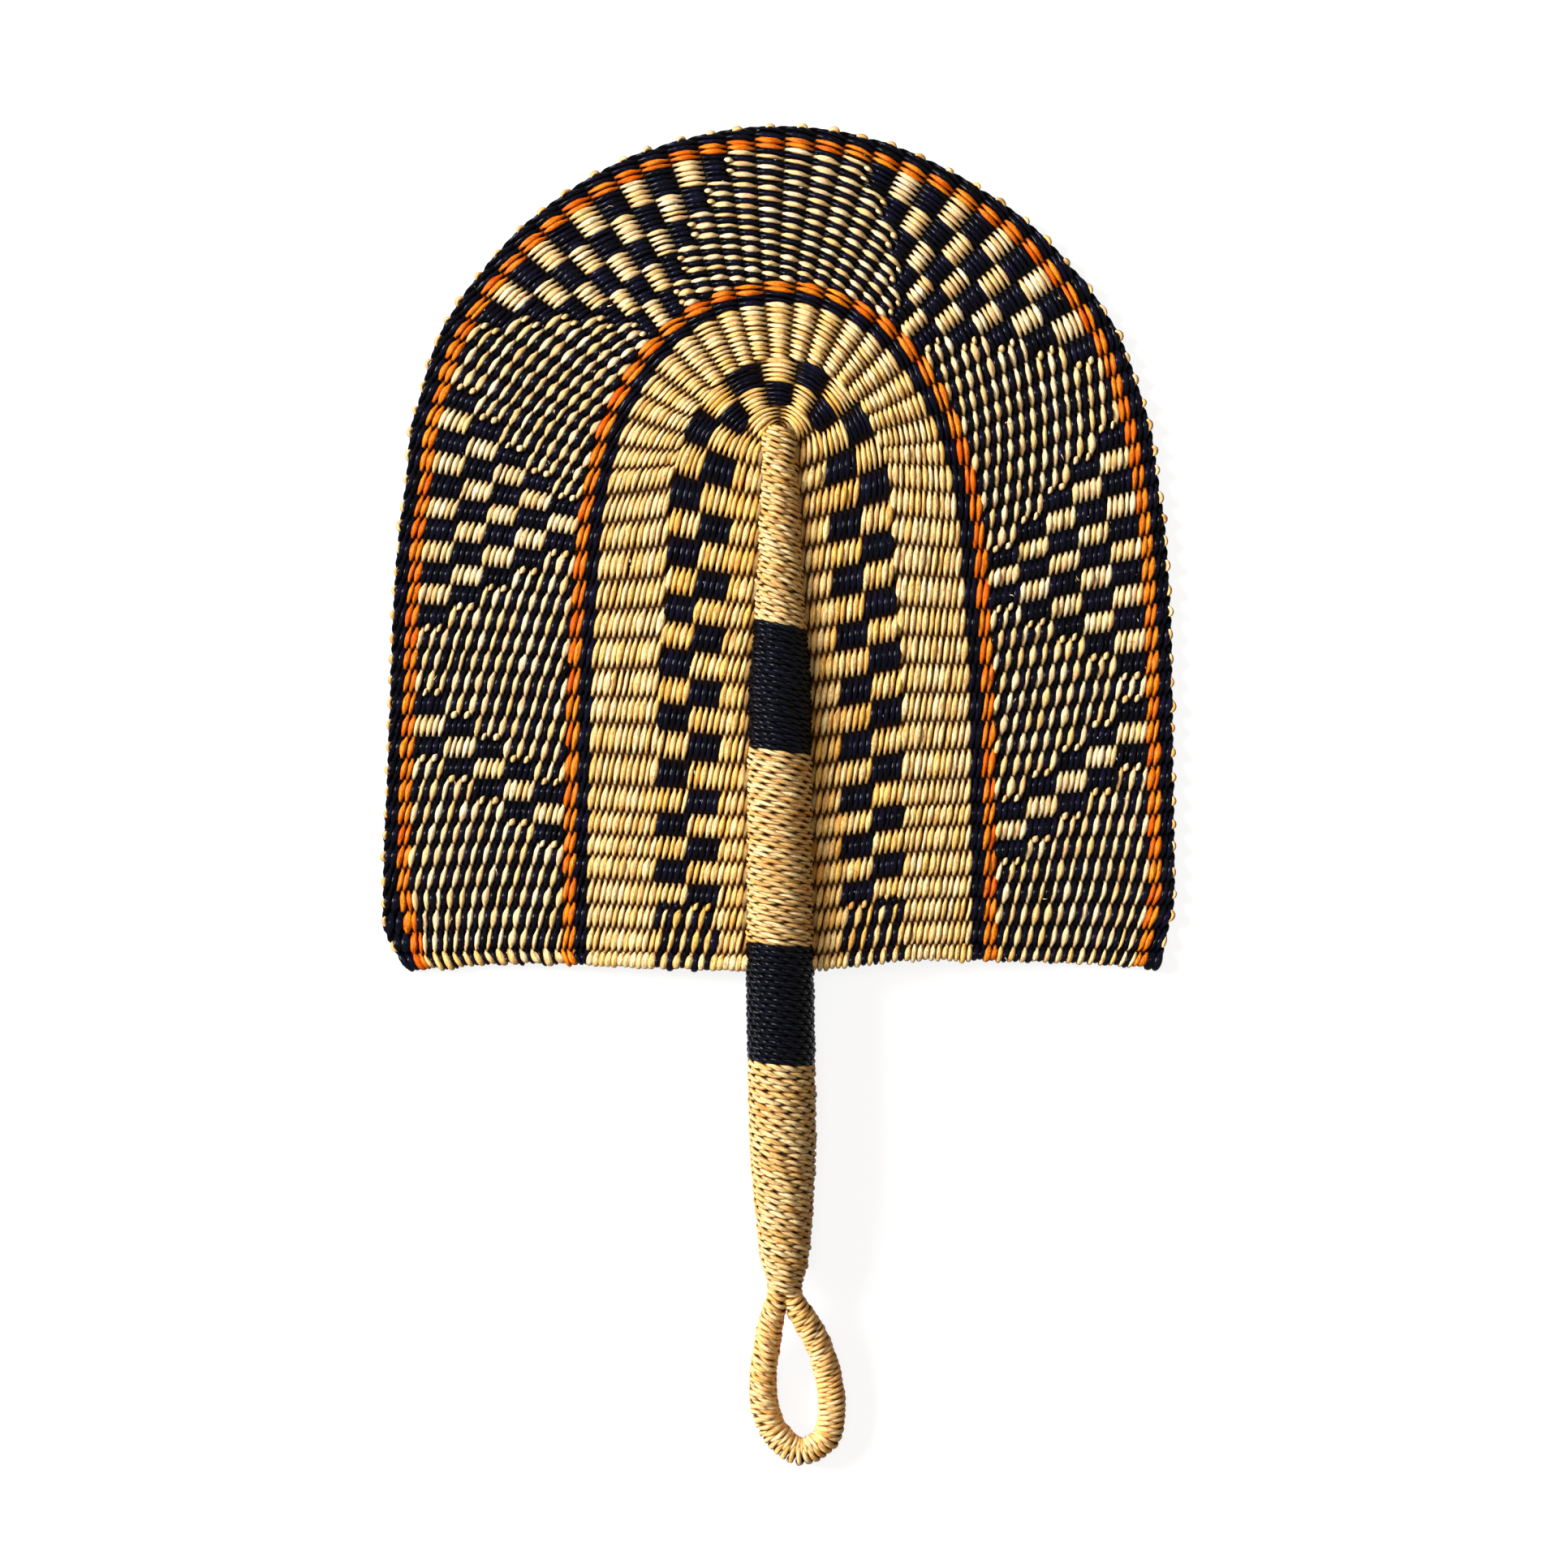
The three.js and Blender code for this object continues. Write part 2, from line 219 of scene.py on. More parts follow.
def newShell():
    # tubes are gathered in a shell, and each shell becomes one piece
    return {"count": 0, **{key: [] for key in ("points", "quads", "caps", "lay", "tone", "shade")}}


def unit(vectors):
    # each row divided by its length
    return vectors / np.linalg.norm(vectors, axis=-1, keepdims=True)


def sweepTube(shell, path, across, halfWidth, halfThick, along, tone, shade, sides=8, closed=False):
    # an ellipse carried along a path: path + across * halfWidth * cos a + up * halfThick * sin a,
    # with across square to the path and up = path's direction x across; lay keeps (along, cos a, sin a),
    # and the half widths, tones and shades are one for all rings or one for each
    if closed:
        tangent = unit(np.roll(path, -1, axis=0) - np.roll(path, 1, axis=0))
    else:
        tangent = unit(np.gradient(path, axis=0))
    across = unit(across - np.sum(across * tangent, axis=1, keepdims=True) * tangent)
    up = np.cross(tangent, across)
    angle = np.arange(sides) / sides * 2 * np.pi
    count, base = len(path), shell["count"]
    halfWidth, halfThick = np.broadcast_to(halfWidth, count), np.broadcast_to(halfThick, count)
    ring = (path[:, None]
            + across[:, None] * (halfWidth[:, None] * np.cos(angle))[..., None]
            + up[:, None] * (halfThick[:, None] * np.sin(angle))[..., None])
    i = np.arange(count if closed else count - 1)[:, None] * sides
    j = np.arange(sides)[None]
    k = (j + 1) % sides
    after = (i + sides) % (count * sides)
    shell["quads"].append((np.stack([i + j, i + k, after + k, after + j], -1) + base).reshape(-1, 4))
    if not closed:
        ends = np.arange(sides) + base
        shell["caps"] += [tuple(ends[::-1].tolist()), tuple((ends + (count - 1) * sides).tolist())]
    shell["points"].append(ring.reshape(-1, 3))
    lay = np.empty((count, sides, 3))
    lay[..., 0] = along[:, None]
    lay[..., 1] = np.cos(angle)
    lay[..., 2] = np.sin(angle)
    shell["lay"].append(lay.reshape(-1, 3))
    for key, values in (("tone", tone), ("shade", shade)):
        shell[key].append(np.repeat(np.broadcast_to(values, count), sides))
    shell["count"] += count * sides


def makePiece(name, shell, finishName, replaced, slotName=None):
    # the shell's tubes as one mesh, with the fibres' lay, tone and shade as attributes
    points = np.concatenate(shell["points"])
    points[:, 1] += hemLevel
    faces = np.concatenate(shell["quads"]).tolist() + shell["caps"]
    mesh = bpy.data.meshes.new(name)
    mesh.from_pydata(points / 1000, [], faces)
    mesh.polygons.foreach_set("use_smooth", np.ones(len(faces), bool))
    lay = mesh.attributes.new("lay", "FLOAT_VECTOR", "POINT")
    lay.data.foreach_set("vector", np.concatenate(shell["lay"]).astype(np.float32).ravel())
    for key in ("tone", "shade"):
        field = mesh.attributes.new(key, "FLOAT", "POINT")
        field.data.foreach_set("value", np.concatenate(shell[key]).astype(np.float32))
    mesh.materials.append(materials[finishName])
    mesh.update()
    piece = bpy.data.objects.new(name, mesh)
    scene.collection.objects.link(piece)
    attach(piece, "root")
    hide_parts(*replaced)
    slotName = slotName or finishes[finishName]["slot"]
    triangles = sum(len(face) - 2 for face in faces)
    print(f"{name}: {triangles} triangles")


def colour(red, green, blue):
    # a screen colour of 0 to 255 as the linear colour that Blender takes
    share = np.array([red, green, blue]) / 255
    linear = np.where(share <= 0.04045, share / 12.92, ((share + 0.055) / 1.055) ** 2.4)
    return (*linear.tolist(), 1.0)


def addNode(tree, kind, inputs=None, **settings):
    # an input given as a socket is linked, and any other is a value
    node = tree.nodes.new(kind)
    for key, value in settings.items():
        setattr(node, key, value)
    for key, value in (inputs or {}).items():
        if isinstance(value, bpy.types.NodeSocket):
            tree.links.new(value, node.inputs[key])
        else:
            node.inputs[key].default_value = value
    return node


def mixColour(tree, share, a, b):
    # the two colours are the Mix node's sockets 6 and 7, and the mixed one is its output 2
    return addNode(tree, "ShaderNodeMix", {0: share, 6: a, 7: b}, data_type="RGBA").outputs[2]


def mathNode(tree, operation, *values):
    return addNode(tree, "ShaderNodeMath", dict(enumerate(values)), operation=operation).outputs[0]


def rangeNode(tree, value, low, high, first=0.0, last=1.0):
    # first up to low, last from high on, and evenly between
    return addNode(tree, "ShaderNodeMapRange", {0: value, 1: low, 2: high, 3: first, 4: last}).outputs[0]


def noiseNode(tree, place, stretch, detail, roughness=0.5):
    # noise at the place, with each of its three directions multiplied by its own stretch
    scaled = addNode(tree, "ShaderNodeVectorMath", {0: place, 1: stretch}, operation="MULTIPLY").outputs[0]
    noise = addNode(tree, "ShaderNodeTexNoise", {"Vector": scaled, "Scale": 1.0, "Detail": detail,
                                                 "Roughness": roughness})
    return noise.outputs["Fac"]


strawLook = {
    # each noise: its stretch along the straw, across it and through it, its detail and roughness
    "fibre": ((0.34, 2.6, 2.6), 4.0, 0.65), "grain": ((1.3, 2.2, 2.2), 2.0), "blotch": ((0.16, 0.45, 0.45), 2.0),
    "blotchRange": (0.48, 0.68),
    "pinkCycles": 7.3, "pinkRange": (0.7, 1.0), "pinkest": 0.7,
    "grainShare": 0.45, "darkRange": (0.66, 0.84),
    "edgeRange": (0.4, 1.0),
    "openRange": (0.02, 0.46),
    "glossRange": (0.3, 0.7),
    "bumpDistance": 0.0004,
}


def strawGroup():
    # split straw: long fibres, a tone for each stitch, blotches, and painted shade where strands dive, on their
    # sides and in the crevices
    group = bpy.data.node_groups.new("straw finish", "ShaderNodeTree")
    shares = ("Blush Share", "Side Shade Share", "Crevice Shade Share", "Fibre Contrast", "Smooth", "Rough")
    sockets = (("INPUT", "Color", ("Pale", "Deep", "Blush", "Fibre And Side Shade", "Crevice Shade")), ("INPUT", "Float", shares),
               ("OUTPUT", "Color", ("Colour",)), ("OUTPUT", "Float", ("Roughness", "Height")))
    for way, kind, labels in sockets:
        for label in labels:
            group.interface.new_socket(label, in_out=way, socket_type="NodeSocket" + kind)
    given, out = group.nodes.new("NodeGroupInput").outputs, group.nodes.new("NodeGroupOutput").inputs
    lay = addNode(group, "ShaderNodeAttribute", attribute_name="lay").outputs["Vector"]
    tone = addNode(group, "ShaderNodeAttribute", attribute_name="tone").outputs["Fac"]
    shade = addNode(group, "ShaderNodeAttribute", attribute_name="shade").outputs["Fac"]
    parts = addNode(group, "ShaderNodeSeparateXYZ", {0: lay}).outputs
    fibre = noiseNode(group, lay, *strawLook["fibre"])
    grain = noiseNode(group, lay, *strawLook["grain"])
    blotch = rangeNode(group, noiseNode(group, lay, *strawLook["blotch"]), *strawLook["blotchRange"])
    # some whole stitches are pinker: the fraction of so many cycles of the tone, where it is high
    hue = mathNode(group, "FRACT", mathNode(group, "MULTIPLY", tone, strawLook["pinkCycles"]))
    pinker = rangeNode(group, hue, *strawLook["pinkRange"], 0.0, strawLook["pinkest"])
    blush = mathNode(group, "MULTIPLY", mathNode(group, "MAXIMUM", blotch, pinker), given["Blush Share"])
    body = mixColour(group, blush, mixColour(group, tone, given["Pale"], given["Deep"]), given["Blush"])
    # dark lines where the fibre's noise, with a share of the grain's, is high
    dark = mathNode(group, "MULTIPLY_ADD", grain, strawLook["grainShare"], fibre)
    dark = rangeNode(group, dark, *strawLook["darkRange"])
    dark = mathNode(group, "MULTIPLY", dark, given["Fibre Contrast"])
    lined = mixColour(group, dark, body, given["Fibre And Side Shade"])
    # painted shade on a strand's sides, where |cos a| is high, mixed in the colour of the fibres' dark lines
    edge = rangeNode(group, mathNode(group, "ABSOLUTE", parts[1]), *strawLook["edgeRange"])
    edge = mathNode(group, "MULTIPLY", edge, given["Side Shade Share"])
    sideShaded = mixColour(group, edge, lined, given["Fibre And Side Shade"])
    # shade is 1 on a strand in front, -1 on one behind and nought where they cross, and sin a is 1
    # on its upper face: their product is small in the crevices, on the faces turned inwards, where the
    # crevice colour is mixed in as painted shade
    opened = mathNode(group, "MULTIPLY", parts[2], shade)
    shadedHollow = rangeNode(group, opened, *strawLook["openRange"], 1.0, 0.0)
    creviceShade = mathNode(group, "MULTIPLY", shadedHollow, given["Crevice Shade Share"])
    final = mixColour(group, creviceShade, sideShaded, given["Crevice Shade"])
    gloss = rangeNode(group, fibre, *strawLook["glossRange"], given["Smooth"], given["Rough"])
    group.links.new(final, out["Colour"])
    group.links.new(mathNode(group, "MAXIMUM", gloss, shadedHollow), out["Roughness"])
    group.links.new(fibre, out["Height"])
    return group


# a finish's crevice colour is painted shade, and its edge colour is that of the fibres' dark lines and of the
# painted shade on a strand's sides
finishBase = {"slot": "natural_straw", "Blush Share": 0.5, "Side Shade Share": 0.9, "Crevice Shade Share": 0.97,
              "Fibre Contrast": 0.65, "Smooth": 0.32, "Rough": 0.5, "specular": 0.08, "bump": 0.5}
finishes = {
    "panel straw": {
        "Pale": (255, 244, 190), "Deep": (250, 216, 130), "Blush": (226, 146, 56), "Fibre And Side Shade": (166, 92, 12),
        "Crevice Shade": (54, 22, 0), "Blush Share": 0.45, "specular": 0.1},
    "inner straw": {
        "Pale": (255, 240, 176), "Deep": (250, 208, 108), "Blush": (226, 140, 42), "Fibre And Side Shade": (168, 90, 8),
        "Crevice Shade": (58, 24, 0)},
    "band straw": {
        "Pale": (255, 246, 204), "Deep": (242, 212, 138), "Blush": (236, 170, 120), "Fibre And Side Shade": (166, 104, 38),
        "Crevice Shade": (18, 7, 1), "Blush Share": 0.6, "Side Shade Share": 0.75, "Crevice Shade Share": 0.98,
        "Fibre Contrast": 0.55, "specular": 0.12},
    "navy straw": {
        "slot": "navy_straw", "Pale": (9, 12, 28), "Deep": (1, 1, 5), "Blush": (26, 18, 54), "Fibre And Side Shade": (1, 1, 3),
        "Crevice Shade": (1, 1, 1), "Side Shade Share": 0.8, "Crevice Shade Share": 0.96, "Fibre Contrast": 0.6, "Smooth": 0.1,
        "Rough": 0.19, "specular": 0.06, "bump": 0.14},
    "orange straw": {
        "slot": "orange_straw", "Pale": (255, 150, 28), "Deep": (236, 92, 0), "Blush": (252, 176, 60),
        "Fibre And Side Shade": (138, 32, 0), "Crevice Shade": (24, 4, 0), "Blush Share": 0.45, "Side Shade Share": 0.85},
    "natural cord": {
        "slot": "natural_cord", "Pale": (255, 238, 184), "Deep": (218, 168, 80), "Blush": (194, 122, 36),
        "Fibre And Side Shade": (138, 80, 8), "Crevice Shade": (44, 22, 0), "Side Shade Share": 0.88, "Crevice Shade Share": 0.98,
        "Fibre Contrast": 0.7, "Smooth": 0.36, "Rough": 0.56},
    "golden cord": {
        "slot": "natural_cord", "Pale": (255, 240, 188), "Deep": (244, 194, 100), "Blush": (240, 154, 46),
        "Fibre And Side Shade": (172, 94, 8), "Crevice Shade": (62, 30, 0), "Blush Share": 0.6, "Side Shade Share": 0.84,
        "Fibre Contrast": 0.6, "Smooth": 0.36, "Rough": 0.56},
    "navy cord": {
        "slot": "navy_cord", "Pale": (14, 16, 32), "Deep": (2, 3, 9), "Blush": (2, 2, 5), "Fibre And Side Shade": (1, 1, 3),
        "Crevice Shade": (1, 1, 1), "Blush Share": 0.8, "Crevice Shade Share": 0.98, "Fibre Contrast": 0.7, "Smooth": 0.09,
        "Rough": 0.17, "specular": 0.07, "bump": 0.12},
}
finishes = {name: {**finishBase, **values} for name, values in finishes.items()}


def newMaterial(name):
    material = bpy.data.materials.new(name)
    material.use_nodes = True
    return material, material.node_tree


def strawMaterial(name, group):
    values = finishes[name]
    material, tree = newMaterial(name)
    shader = tree.nodes["Principled BSDF"]
    finish = addNode(tree, "ShaderNodeGroup", node_tree=group)
    for key, value in values.items():
        if key in finish.inputs:
            finish.inputs[key].default_value = colour(*value) if isinstance(value, tuple) else value
    bump = addNode(tree, "ShaderNodeBump", {"Strength": values["bump"], "Distance": strawLook["bumpDistance"],
                                            "Height": finish.outputs["Height"]})
    tree.links.new(finish.outputs["Colour"], shader.inputs["Base Color"])
    tree.links.new(finish.outputs["Roughness"], shader.inputs["Roughness"])
    tree.links.new(bump.outputs["Normal"], shader.inputs["Normal"])
    shader.inputs["Specular IOR Level"].default_value = values["specular"]
    return material


stemLook = {"noise": ((900, 40, 900), 4.0), "range": (0.35, 0.65), "dark": (36, 20, 6), "light": (74, 46, 18),
            "bump": 0.5, "bumpDistance": 0.0003, "roughness": 0.7}


def stemMaterial():
    # the bundle under the cord: stems along the handle, brown between them, all of it darker as painted shade
    # for the gaps between the wraps where it shows
    material, tree = newMaterial("shaded stem bundle")
    shader = tree.nodes["Principled BSDF"]
    place = addNode(tree, "ShaderNodeTexCoord").outputs["Object"]
    stems = noiseNode(tree, place, *stemLook["noise"])
    share = rangeNode(tree, stems, *stemLook["range"])
    brown = mixColour(tree, share, colour(*stemLook["dark"]), colour(*stemLook["light"]))
    bump = addNode(tree, "ShaderNodeBump", {"Strength": stemLook["bump"], "Distance": stemLook["bumpDistance"],
                                            "Height": stems})
    tree.links.new(brown, shader.inputs["Base Color"])
    tree.links.new(bump.outputs["Normal"], shader.inputs["Normal"])
    shader.inputs["Roughness"].default_value = stemLook["roughness"]
    return material


finishGroup = strawGroup()
materials = {name: strawMaterial(name, finishGroup) for name in finishes}
stemFinish = stemMaterial()
for coreName in ("handle_core", "loop_core"):
    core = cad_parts[coreName]
    core.data.materials.clear()
    core.data.materials.append(stemFinish)
print("materials made:", len(materials) + 1)


# the weave: two strands in every row, that change sides between the stakes
weave = {
    "steps": 8,            # rings in each stitch
    "swing": 1.5,          # how far a strand passes in front of the middle, at a stake
    "swingPower": 1.05,
    # half its thickness, but at most a share of the rows' pitch and a little more, and the share of it
    # where two strands cross
    "halfThick": 0.76, "pitchShare": 0.35, "thickLeast": 0.25, "crossThick": 0.62,
    # half the strand's width, as a share of the row's: pointed where it leaves the front, but full
    # where it goes behind the other one, so that no light comes through there
    "fronts": [-1, -0.38, 0, 0.38, 0.71, 0.92, 1],
    "halfWidths": [0.56, 0.54, 0.41, 0.31, 0.47, 0.55, 0.57],
    "sway": 0.39,          # how far they pass beside each other there
    "bend": 0.5,           # how much of that comes near the ends only, so that a stitch is a lazy S
    "widthSpread": 0.15, "swaySpread": 0.07, "liftSpread": 0.18,
    # a dot between two squares beside a full stitch
    "dotReach": 0.34, "dotLift": 0.85, "dotSway": 0.5, "dotWidth": 0.8,
    "tableGap": 0.02,
    # how soon the shade is full, and the slope of a painted shade over the rows that lie in the handle's crevice
    "shadeGain": 1.15, "handleSlope": 0.6, "handleStart": 0.1, "handleLeast": 0.12,
    # above the tip the rows leave out two stakes on each side, and pass one at a share of the third
    "tipStakes": 2, "tipShare": 0.42,
}
# the first row of each zone, and the one after its last
zoneRows = {"tip": (-1, 5), "squares": (5, 15), "far": (15, 26), "innerNavy": (26, 28), "innerOrange": (28, 30),
            "band": (30, 55), "outerOrange": (55, 57), "rimNavy": (57, 59)}


def twistKnots(places, fronts):
    # the phase gains 1 from stake to stake, or 2 where the same strand stays in front: then one
    # more half twist shows between the stakes as a dot
    step = np.where(fronts[1:] == fronts[:-1], 2, 1)
    phase = fronts[0] + np.concatenate([[0], np.cumsum(step)])
    gap = np.diff(places)
    reach = gap * np.where(step == 2, weave["dotReach"], 0.5)
    phases = np.concatenate([phase, phase[:-1] + 0.5, phase[1:] - 0.5])
    marks = np.concatenate([places, places[:-1] + reach, places[1:] - reach])
    phases, first = np.unique(phases, return_index=True)
    twice = phase[:-1][step == 2] + 1
    return phases, marks[first], twice


def weaveStrand(shell, row, knots, ruler, sign, rng):
    # front = sign * cos(pi * phase) is 1 where the strand passes in front of a stake and -1 behind it;
    # its lift is swing * |front| ^ power, up in front and down behind, and it sways beside the other
    # strand by turn * |turn| ^ bend, where turn = -sign * sin(pi * phase)
    phases, marks, twice = knots
    phase = np.arange(phases[0] * weave["steps"], phases[-1] * weave["steps"] + 0.5) / weave["steps"]
    u = np.interp(np.interp(phase, phases, marks), ruler, rulerSteps)
    centre = rowPlace(row, u)
    across = leftOf(unit(np.gradient(centre, axis=0)))
    outward = across[:, :2]
    pitch = np.abs(np.sum((rowPlace(row + 0.5, u) - rowPlace(row - 0.5, u)) * outward, axis=1))
    front = sign * np.cos(np.pi * phase)
    body = np.abs(front)
    stitch = np.floor(phase + 0.5).astype(int) - int(phases[0]) + 1
    count = stitch.max() + 1
    dot = np.isin(np.round(phase), twice)
    wide = 1 + rng.normal(0, weave["widthSpread"], count)[stitch] * body
    turn = -sign * np.sin(np.pi * phase)
    sway = turn * np.abs(turn) ** weave["bend"] * weave["sway"]
    sway = sway * np.where(dot, mix(1, weave["dotSway"], body), 1)
    sway += rng.normal(0, weave["swaySpread"], count)[stitch] * body
    swing = weave["swing"] + rng.normal(0, weave["liftSpread"], count)[stitch] * body
    lift = np.sign(front) * body ** weave["swingPower"] * swing * np.where(dot, weave["dotLift"], 1)
    halfWidth = (pitch * np.interp(front, weave["fronts"], weave["halfWidths"]) * wide
                 * np.where(dot, mix(1, weave["dotWidth"], body), 1))
    halfThick = np.minimum(weave["halfThick"], weave["pitchShare"] * pitch + weave["thickLeast"])
    halfThick = halfThick * mix(weave["crossThick"], 1, body)
    path = np.empty((len(phase), 3))
    path[:, :2] = centre + outward * (sway * pitch)[:, None]
    # nothing goes through the table
    path[:, 2] = np.maximum(weaveLift(row) + lift, halfThick + weave["tableGap"])
    # painted shade on the rows that lie in the handle's crevice: their shade is scaled down
    besideHandle = np.clip(weave["handleSlope"] * row - weave["handleStart"], weave["handleLeast"], 1)
    shade = np.clip(front * weave["shadeGain"], -1, 1) * besideHandle
    tone = rng.uniform(0, 1, count)[stitch]
    length = lengthAlong(path) + rng.uniform(*layRange)
    sweepTube(shell, path, across, halfWidth, halfThick, length, tone, shade)


pattern = {"groups": 5, "groupRows": 5, "dashesFrom": 20, "crownBlocks": 8, "shoulderBlocks": 22,
           "sideBlocksRight": 30, "sideBlocksLeft": 32}


def nearFronts(row, numbers):
    # plain rows, then two columns of navy squares that become dashes near the hem
    first = zoneRows["squares"][0]
    if row < first:
        return np.arange(len(numbers)) % 2
    column, line = divmod(row - first, pattern["groupRows"])
    count = np.abs(numbers)
    return np.where((count + column + np.where(count > pattern["dashesFrom"], line % 2, 0)) % 2 == 0, 1, 0)


def bandFronts(row, numbers):
    # blocks that step outwards with each group of rows, and a chequer of dashes elsewhere
    group, line = divmod(row - zoneRows["band"][0], pattern["groupRows"])
    group += 1
    count = np.abs(numbers)
    sideBlock = np.where(numbers < 0, pattern["sideBlocksLeft"], pattern["sideBlocksRight"])
    block = ((np.abs(count - pattern["crownBlocks"]) <= group)
             | (np.abs(count - pattern["shoulderBlocks"]) <= group)
             | (np.abs(count - (sideBlock + pattern["groups"] - group)) <= 1))
    return np.where((count + group + np.where(block, 0, line % 2)) % 2 == 0, 1, 0)


def weaveRows(stakesName, rows, shells, fronts=None, seed=0):
    # the first shell takes the strand that is in front at an even phase, and the second the other
    rng = np.random.default_rng(seed)
    for row in range(*rows):
        middle = row + 0.5
        numbers, places = stakePlaces(stakesName, middle)
        if row < zoneRows["tip"][1]:
            # above the tip the rows pass one stake on each side before they meet
            kept = np.abs(numbers) > weave["tipStakes"]
            meeting = places[numbers == weave["tipStakes"] + 1][0] * weave["tipShare"]
            places = np.concatenate([places[kept & (numbers < 0)], [-meeting, meeting],
                                     places[kept & (numbers > 0)]])
            numbers = np.arange(len(places))
        front = fronts(row, numbers) if fronts else np.arange(len(places)) % 2
        knots = twistKnots(places, front)
        ruler = rowRuler(middle)
        for shell, sign in zip(shells, (1, -1)):
            weaveStrand(shell, middle, knots, ruler, sign, rng)


def weaveZone(pieces, solidName, stakesName, rows, fronts=None, seed=0):
    shells = [newShell() for piece in pieces]
    weaveRows(stakesName, rows, (shells[0], shells[-1]), fronts, seed)
    for shell, (name, finishName) in zip(shells, pieces):
        makePiece(name, shell, finishName, [solidName])


nearShells = [newShell(), newShell()]
weaveRows("near", zoneRows["tip"], [nearShells[0]] * 2, nearFronts, 1)
weaveRows("near", zoneRows["squares"], nearShells, nearFronts, 2)
makePiece("near_straw", nearShells[0], "inner straw", ["inner_panel_near"])
makePiece("near_navy_squares", nearShells[1], "navy straw", ["inner_panel_near"])
weaveZone([("far_straw", "panel straw")], "inner_panel_far", "far", zoneRows["far"], seed=3)
weaveZone([("inner_navy_strands", "navy straw")], "inner_navy_rows", "far", zoneRows["innerNavy"], seed=4)
weaveZone([("inner_orange_strands", "orange straw")], "inner_orange_rows", "far", zoneRows["innerOrange"],
          seed=5)
for group in range(pattern["groups"]):
    firstRow = zoneRows["band"][0] + group * pattern["groupRows"]
    weaveZone([(f"band_{group + 1}_straw", "band straw"), (f"band_{group + 1}_navy", "navy straw")],
              "pattern_band", "band", (firstRow, firstRow + pattern["groupRows"]), bandFronts, seed=6 + group)
weaveZone([("outer_orange_strands", "orange straw")], "outer_orange_rows", "band", zoneRows["outerOrange"],
          seed=21)
weaveZone([("rim_navy_strands", "navy straw")], "rim_navy_rows", "band", zoneRows["rimNavy"], seed=22)
print("weave made")


# the stems that the strands pass round
stem = {"radius": 0.7, "rings": 14, "sides": 6, "aboveTip": 1.2, "inward": 0.3, "outward": 0.6, "rimGap": 0.5,
        "rowLength": 2, "nearLeftOut": 2, "seed": 50}


def makeStakes(name, stakesName, replaced):
    # each one is a round stem through the stake's places on rows an even step apart
    table = stakeTables[stakesName]
    low, high = table["rows"]
    first = low - (stem["aboveTip"] if low == 0 else stem["inward"])
    last = high - stem["rimGap"] if high == blade["rows"] else high + stem["outward"]
    rows = np.linspace(first, last, stem["rings"])
    lines = []
    for row in rows:
        numbers, places = stakePlaces(stakesName, row)
        u = np.interp(places, rowRuler(row), rulerSteps)
        lines.append(np.column_stack([rowPlace(row, u), np.full(len(u), weaveLift(row))]))
    lines = np.array(lines)
    shell = newShell()
    rng = np.random.default_rng(table["seed"] + stem["seed"])
    upward = np.tile([0.0, 0.0, 1.0], (stem["rings"], 1))
    for stake in range(1, lines.shape[1] - 1):
        if stakesName == "near" and abs(numbers[stake]) < stem["nearLeftOut"]:
            continue
        # the stakes' shade is nought, so they are painted all over in the crevice shade
        sweepTube(shell, lines[:, stake], upward, stem["radius"], stem["radius"],
                  rows * stem["rowLength"] + rng.uniform(*layRange), rng.uniform(0, 1), 0, sides=stem["sides"])
    makePiece(name, shell, "band straw", replaced)


nub = {"rings": 7, "slide": 0.3, "length": (1.3, 2.0), "inset": 0.15, "proud": (0.2, 0.6), "lift": (1.6, 0.15),
       "lean": 0.5, "radius": (0.6, 0.9), "narrowing": 0.85, "tones": (0.2, 0.9), "seed": 59}


def makeStakeEnds():
    # the last turn of straw round each stake's end: a short bead along the rim, each one a little
    # different, that stands out as proud * (1 - t^2) and narrows as sqrt(1 - narrowing * t^2)
    rng = np.random.default_rng(nub["seed"])
    ruler = rowRuler(blade["rows"])
    t = np.linspace(-1, 1, nub["rings"])
    shell = newShell()
    for place in stakePlaces("band", blade["rows"])[1][1:-1]:
        u = np.interp(place + rng.normal(0, nub["slide"]) + t * rng.uniform(*nub["length"]), ruler, rulerSteps)
        line = rowPlace(blade["rows"] - nub["inset"] + rng.uniform(*nub["proud"]) * (1 - t * t), u)
        lift = weaveLift(blade["rows"]) + rng.normal(*nub["lift"]) + t * rng.normal(0, nub["lean"])
        radius = rng.uniform(*nub["radius"]) * np.sqrt(1 - nub["narrowing"] * t * t)
        across = leftOf(unit(np.gradient(line, axis=0)))
        sweepTube(shell, np.column_stack([line, lift]), across, radius, radius, t + rng.uniform(*layRange),
                  rng.uniform(*nub["tones"]), 1)
    makePiece("stake_ends", shell, "golden cord", ["rim_navy_rows"], "natural_straw")


stray = {"count": 36, "rings": 6, "sides": 5, "rows": (30.5, 57), "slide": 1, "length": (0.8, 2.0), "bend": 0.4,
         "lift": 2.1, "rise": (0.1, 0.6), "riseTurn": 2.4, "radius": (0.14, 0.26), "taper": 0.7, "seed": 60}


